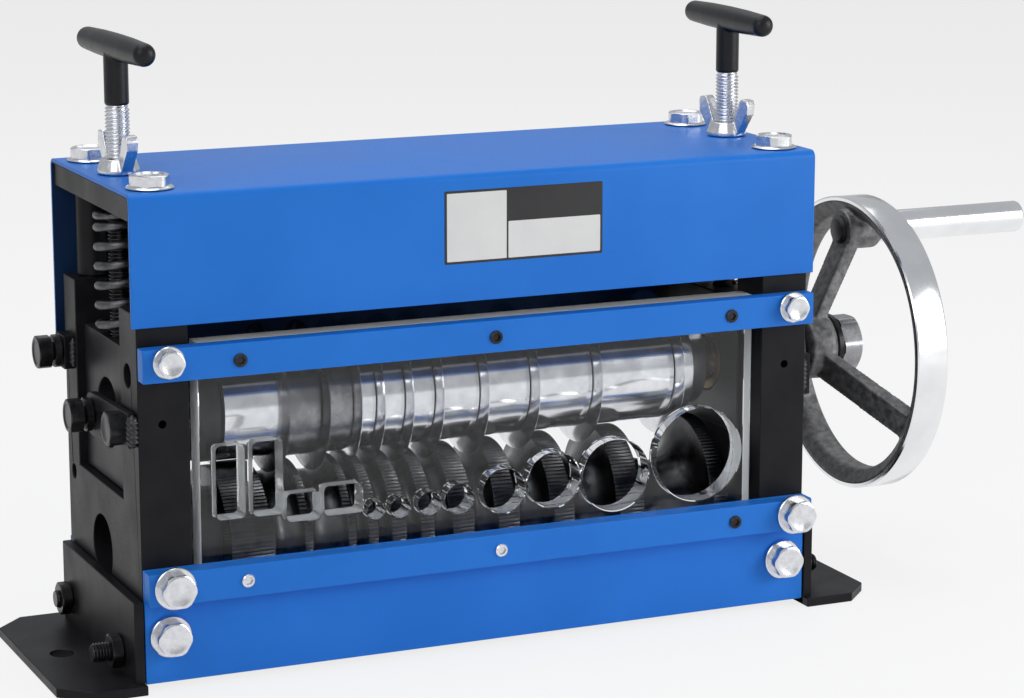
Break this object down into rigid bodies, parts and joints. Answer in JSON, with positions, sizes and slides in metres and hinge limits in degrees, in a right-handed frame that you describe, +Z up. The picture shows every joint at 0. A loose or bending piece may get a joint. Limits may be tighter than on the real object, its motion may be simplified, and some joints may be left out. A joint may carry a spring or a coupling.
{
  "type": "hand crank wire stripper",
  "caption": "Bench wire stripper: a handwheel turns a shaft of round blades over a grooved feed roller behind a clear guide plate with cable channels.",
  "frame": {"origin": "middle of the footprint box, on the surface that the feet stand on", "axes": "+X along the shafts towards the handwheel, +Y from the feeding side to the back, +Z up"},
  "size_m": [0.47, 0.136, 0.255],
  "materials": {
    "blue_paint": "smooth gloss blue enamel",
    "black_paint": "semi-matte black paint over rough steel",
    "zinc": "bright zinc plating",
    "roller_steel": "turned steel, lightly oiled",
    "blade_steel": "ground tool steel",
    "bronze": "dull bronze",
    "cast_iron": "rough grey casting with a polished rim",
    "chrome": "polished chrome",
    "clear_acrylic": "clear cast acrylic with polished edges",
    "black_coating": "dipped black vinyl",
    "spring_steel": "oiled dark spring wire"
  },
  "bodies": {
    "frame": {"side_plate_left": "black_paint", "foot_left": "black_paint", "feed_bush_left": "bronze", "foot_bolt_front_left": "black_paint", "foot_bolt_back_left": "black_paint", "cover_bolt_front_left": "zinc", "cover_bolt_back_left": "zinc", "upper_bar_bolt_left": "zinc", "lower_bar_bolt_left": "zinc", "panel_bolt_left": "zinc", "side_plate_right": "black_paint", "foot_right": "black_paint", "feed_bush_right": "bronze", "foot_bolt_front_right": "black_paint", "foot_bolt_back_right": "black_paint", "cover_bolt_front_right": "zinc", "cover_bolt_back_right": "zinc", "upper_bar_bolt_right": "zinc", "lower_bar_bolt_right": "zinc", "panel_bolt_right": "zinc", "top_plate": "black_paint", "cover": "blue_paint", "guide_plate": "clear_acrylic", "upper_front_bar": "blue_paint", "lower_front_bar": "blue_paint", "front_panel": "blue_paint", "rear_panel": "blue_paint", "stop_strap": "black_paint", "thrust_bolt": "black_paint", "lug_bolt": "black_paint", "lift_spring_left": "spring_steel", "lift_spring_right": "spring_steel"},
    "carriage": {"slide_block_left": "black_paint", "slide_block_right": "black_paint", "cutter_bush_left": "bronze", "cutter_bush_right": "bronze"},
    "cutter": {"cutter_shaft": "roller_steel", "cutter_gear": "roller_steel", "handwheel": "cast_iron", "wheel_nut": "roller_steel", "blade_1": "blade_steel", "blade_2": "blade_steel", "blade_3": "blade_steel", "blade_4": "blade_steel", "blade_5": "blade_steel", "blade_6": "blade_steel", "blade_7": "blade_steel", "blade_8": "blade_steel", "blade_9": "blade_steel", "blade_10": "blade_steel"},
    "crank_grip": {"crank_grip": "chrome"},
    "feeder": {"feed_roller": "roller_steel", "feed_gear": "roller_steel"},
    "lift_screw_left": {"lift_screw_left": "zinc", "t_handle_left": "black_coating"},
    "lift_screw_right": {"lift_screw_right": "zinc", "t_handle_right": "black_coating"},
    "wing_nut_left": {"wing_nut_left": "zinc"},
    "wing_nut_right": {"wing_nut_right": "zinc"}
  },
  "joints": [
    {"name": "cutter_lift", "type": "slide", "parent": "frame", "child": "carriage", "axis": [0, 0, 1], "range_m": [0, 0.007], "deforming": ["lift_spring_left", "lift_spring_right"]},
    {"name": "cutter_spin", "type": "hinge", "parent": "carriage", "child": "cutter", "pos_m": [-0.05295, 0.0022, 0.1015], "axis": [1, 0, 0], "continuous": true},
    {"name": "grip_spin", "type": "hinge", "parent": "cutter", "child": "crank_grip", "pos_m": [0.19705, 0.0022, 0.153], "axis": [1, 0, 0], "continuous": true},
    {"name": "feed_spin", "type": "hinge", "parent": "frame", "child": "feeder", "pos_m": [-0.05295, 0.0022, 0.0455], "axis": [1, 0, 0], "continuous": true},
    {"name": "left_screw_turn", "type": "hinge", "parent": "carriage", "child": "lift_screw_left", "pos_m": [-0.18995, 0.0022, 0.2], "axis": [0, 0, 1], "range_deg": [0, 1680]},
    {"name": "right_screw_turn", "type": "hinge", "parent": "carriage", "child": "lift_screw_right", "pos_m": [0.08405, 0.0022, 0.2], "axis": [0, 0, 1], "range_deg": [0, 1680]},
    {"name": "left_wing_nut_turn", "type": "hinge", "parent": "frame", "child": "wing_nut_left", "pos_m": [-0.18995, 0.0022, 0.202], "axis": [0, 0, 1], "range_deg": [0, 180]},
    {"name": "right_wing_nut_turn", "type": "hinge", "parent": "frame", "child": "wing_nut_right", "pos_m": [0.08405, 0.0022, 0.202], "axis": [0, 0, 1], "range_deg": [0, 180]}
  ],
  "couplings": [
    {"joint": "feed_spin", "follows": "cutter_spin", "ratio": -1},
    {"joint": "left_screw_turn", "follows": "cutter_lift", "rad_per_m": 4188.8},
    {"joint": "right_screw_turn", "follows": "cutter_lift", "rad_per_m": 4188.8}
  ]
}
